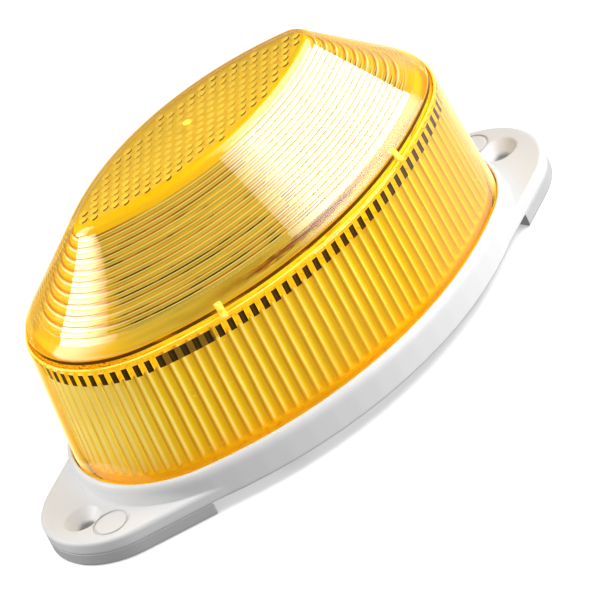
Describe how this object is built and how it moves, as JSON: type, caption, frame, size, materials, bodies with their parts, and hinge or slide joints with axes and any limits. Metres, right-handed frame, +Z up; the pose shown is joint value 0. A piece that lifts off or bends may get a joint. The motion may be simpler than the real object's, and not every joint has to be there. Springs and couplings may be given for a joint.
{
  "type": "strobe beacon",
  "caption": "Surface-mounting amber strobe beacon: oval ribbed lens over a white base with two screw ears, xenon tube and drive board inside.",
  "frame": {"origin": "centre of the mounting surface under the two feet", "axes": "+X along the two screw ears, +Y across the base, +Z up through the lens"},
  "size_m": [0.127, 0.065, 0.0569],
  "materials": {
    "white_abs": "moulded, light satin",
    "foot_plastic": "moulded",
    "amber_lens": "clear amber, polished",
    "gasket_rubber": "foam rubber",
    "screw_steel": "zinc plated",
    "grommet_rubber": "moulded rubber",
    "board_green": "solder mask",
    "reflector_white": "moulded white",
    "socket_ceramic": "unglazed",
    "tube_glass": "clear",
    "electrode_metal": "drawn wire",
    "wire_nickel": "drawn wire",
    "coil_blue": "dipped",
    "capacitor_sleeve": "shrink sleeve",
    "film_box": "moulded box",
    "ferrite": "ground ferrite",
    "bobbin_plastic": "moulded",
    "winding_copper": "enamelled wire",
    "epoxy_black": "moulded epoxy",
    "resistor_tan": "lacquered",
    "lead_tin": "tinned wire",
    "terminal_green": "moulded nylon",
    "terminal_brass": "nickel brass"
  },
  "bodies": {
    "base": {"base_housing": "white_abs", "left_foot": "foot_plastic", "right_foot": "foot_plastic", "lens_gasket": "gasket_rubber", "lens_screws": "screw_steel", "cable_grommet": "grommet_rubber", "circuit_board": "board_green", "board_screws": "screw_steel", "reflector": "reflector_white", "tube_socket": "socket_ceramic", "flash_tube": "tube_glass", "tube_electrodes": "electrode_metal", "trigger_wire": "wire_nickel", "trigger_coil": "coil_blue", "storage_capacitor": "capacitor_sleeve", "capacitor_bung": "gasket_rubber", "film_capacitors": "film_box", "transformer_core": "ferrite", "transformer_bobbin": "bobbin_plastic", "transformer_winding": "winding_copper", "switching_transistor": "epoxy_black", "rectifier_diodes": "epoxy_black", "resistors": "resistor_tan", "component_leads": "lead_tin", "terminal_block": "terminal_green", "terminal_clamps": "terminal_brass"},
    "lens": {"lens": "amber_lens"},
    "terminal_screw_left": {"terminal_screw_left": "screw_steel"},
    "terminal_screw_right": {"terminal_screw_right": "screw_steel"}
  },
  "joints": [
    {"name": "lens_lift", "type": "slide", "parent": "base", "child": "lens", "axis": [0, 0, 1], "range_m": [0, 0.06]},
    {"name": "terminal_screw_left_turn", "type": "hinge", "parent": "base", "child": "terminal_screw_left", "pos_m": [-0.031, -0.00254, 0.0195], "axis": [0, 0, 1], "continuous": true},
    {"name": "terminal_screw_right_turn", "type": "hinge", "parent": "base", "child": "terminal_screw_right", "pos_m": [-0.031, 0.00254, 0.0195], "axis": [0, 0, 1], "continuous": true}
  ]
}
